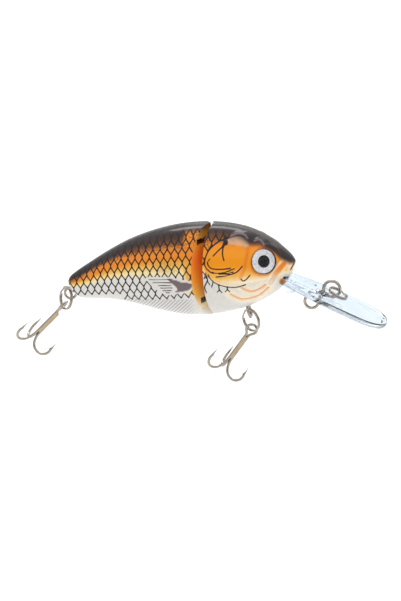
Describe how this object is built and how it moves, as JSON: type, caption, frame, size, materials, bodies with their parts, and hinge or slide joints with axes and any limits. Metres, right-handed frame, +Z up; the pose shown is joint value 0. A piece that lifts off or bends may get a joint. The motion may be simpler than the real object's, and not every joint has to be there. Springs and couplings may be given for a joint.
{
  "type": "jointed crankbait lure",
  "caption": "Jointed deep-diving fishing lure: painted fish body hinged in the middle, clear diving bill, line tie and treble hooks on split rings.",
  "frame": {"origin": "centre of the upper eye of the line-tie wire", "axes": "+X towards the nose, +Y the fish's left side, +Z up and along the hinge pin"},
  "size_m": [0.1205, 0.0204, 0.0533],
  "materials": {
    "painted_shell": "printed fish-scale pattern under clear gloss lacquer",
    "clear_bill": "clear polycarbonate, polished",
    "nickel_wire": "bright nickel plated wire",
    "hinge_steel": "plain steel wire",
    "hook_braze": "brazed joint, dull",
    "eye_foil": "embossed silver foil with a printed black pupil",
    "eye_lens": "clear domed resin",
    "ballast_metal": "plain cast weight",
    "rattle_steel": "polished steel ball"
  },
  "bodies": {
    "head": {"head_shell_right": "painted_shell", "head_shell_left": "painted_shell", "diving_bill": "clear_bill", "line_tie_wire": "nickel_wire", "upper_hinge_eye": "hinge_steel", "lower_hinge_eye": "hinge_steel", "belly_hook_hanger": "nickel_wire", "right_eye_foil": "eye_foil", "left_eye_foil": "eye_foil", "right_eye_lens": "eye_lens", "left_eye_lens": "eye_lens", "head_ballast": "ballast_metal"},
    "tail": {"tail_shell_right": "painted_shell", "tail_shell_left": "painted_shell", "hinge_pin": "hinge_steel", "tail_hook_hanger": "nickel_wire"},
    "line_ring": {"line_tie_split_ring": "nickel_wire"},
    "belly_ring": {"belly_split_ring": "nickel_wire"},
    "belly_hook": {"belly_double_hook": "nickel_wire", "belly_single_hook": "nickel_wire", "belly_hook_braze": "hook_braze"},
    "tail_ring": {"tail_split_ring": "nickel_wire"},
    "tail_hook": {"tail_double_hook": "nickel_wire", "tail_single_hook": "nickel_wire", "tail_hook_braze": "hook_braze"},
    "head_rattle": {"head_rattle_ball": "rattle_steel"},
    "tail_rattle": {"tail_rattle_ball": "rattle_steel"}
  },
  "joints": [
    {"name": "tail_swing", "type": "hinge", "parent": "head", "child": "tail", "pos_m": [-0.0405, 0, 0.008], "axis": [0, 0, 1], "range_deg": [-18, 18]},
    {"name": "line_ring_swing", "type": "hinge", "parent": "head", "child": "line_ring", "pos_m": [-0.0007, 0, 0.00015], "axis": [0, -1, 0], "range_deg": [0, 160]},
    {"name": "belly_ring_swing", "type": "hinge", "parent": "head", "child": "belly_ring", "pos_m": [-0.02695, 0, -0.00675], "axis": [0, 1, 0], "range_deg": [-30, 20]},
    {"name": "belly_hook_swing", "type": "hinge", "parent": "belly_ring", "child": "belly_hook", "pos_m": [-0.0267, 0.0006, -0.0132], "axis": [0, 1, 0], "range_deg": [-60, 15]},
    {"name": "tail_ring_swing", "type": "hinge", "parent": "tail", "child": "tail_ring", "pos_m": [-0.0846, 0, 0.0002], "axis": [0, 1, 0], "range_deg": [-30, 30]},
    {"name": "tail_hook_swing", "type": "hinge", "parent": "tail_ring", "child": "tail_hook", "pos_m": [-0.08775, 0.00245, -0.005], "axis": [0, 1, 0], "range_deg": [-40, 40]},
    {"name": "head_rattle_roll", "type": "slide", "parent": "head", "child": "head_rattle", "axis": [0, 1, 0], "range_m": [-0.003, 0.003]},
    {"name": "tail_rattle_roll", "type": "slide", "parent": "tail", "child": "tail_rattle", "axis": [0, 1, 0], "range_m": [-0.003, 0.003]}
  ]
}
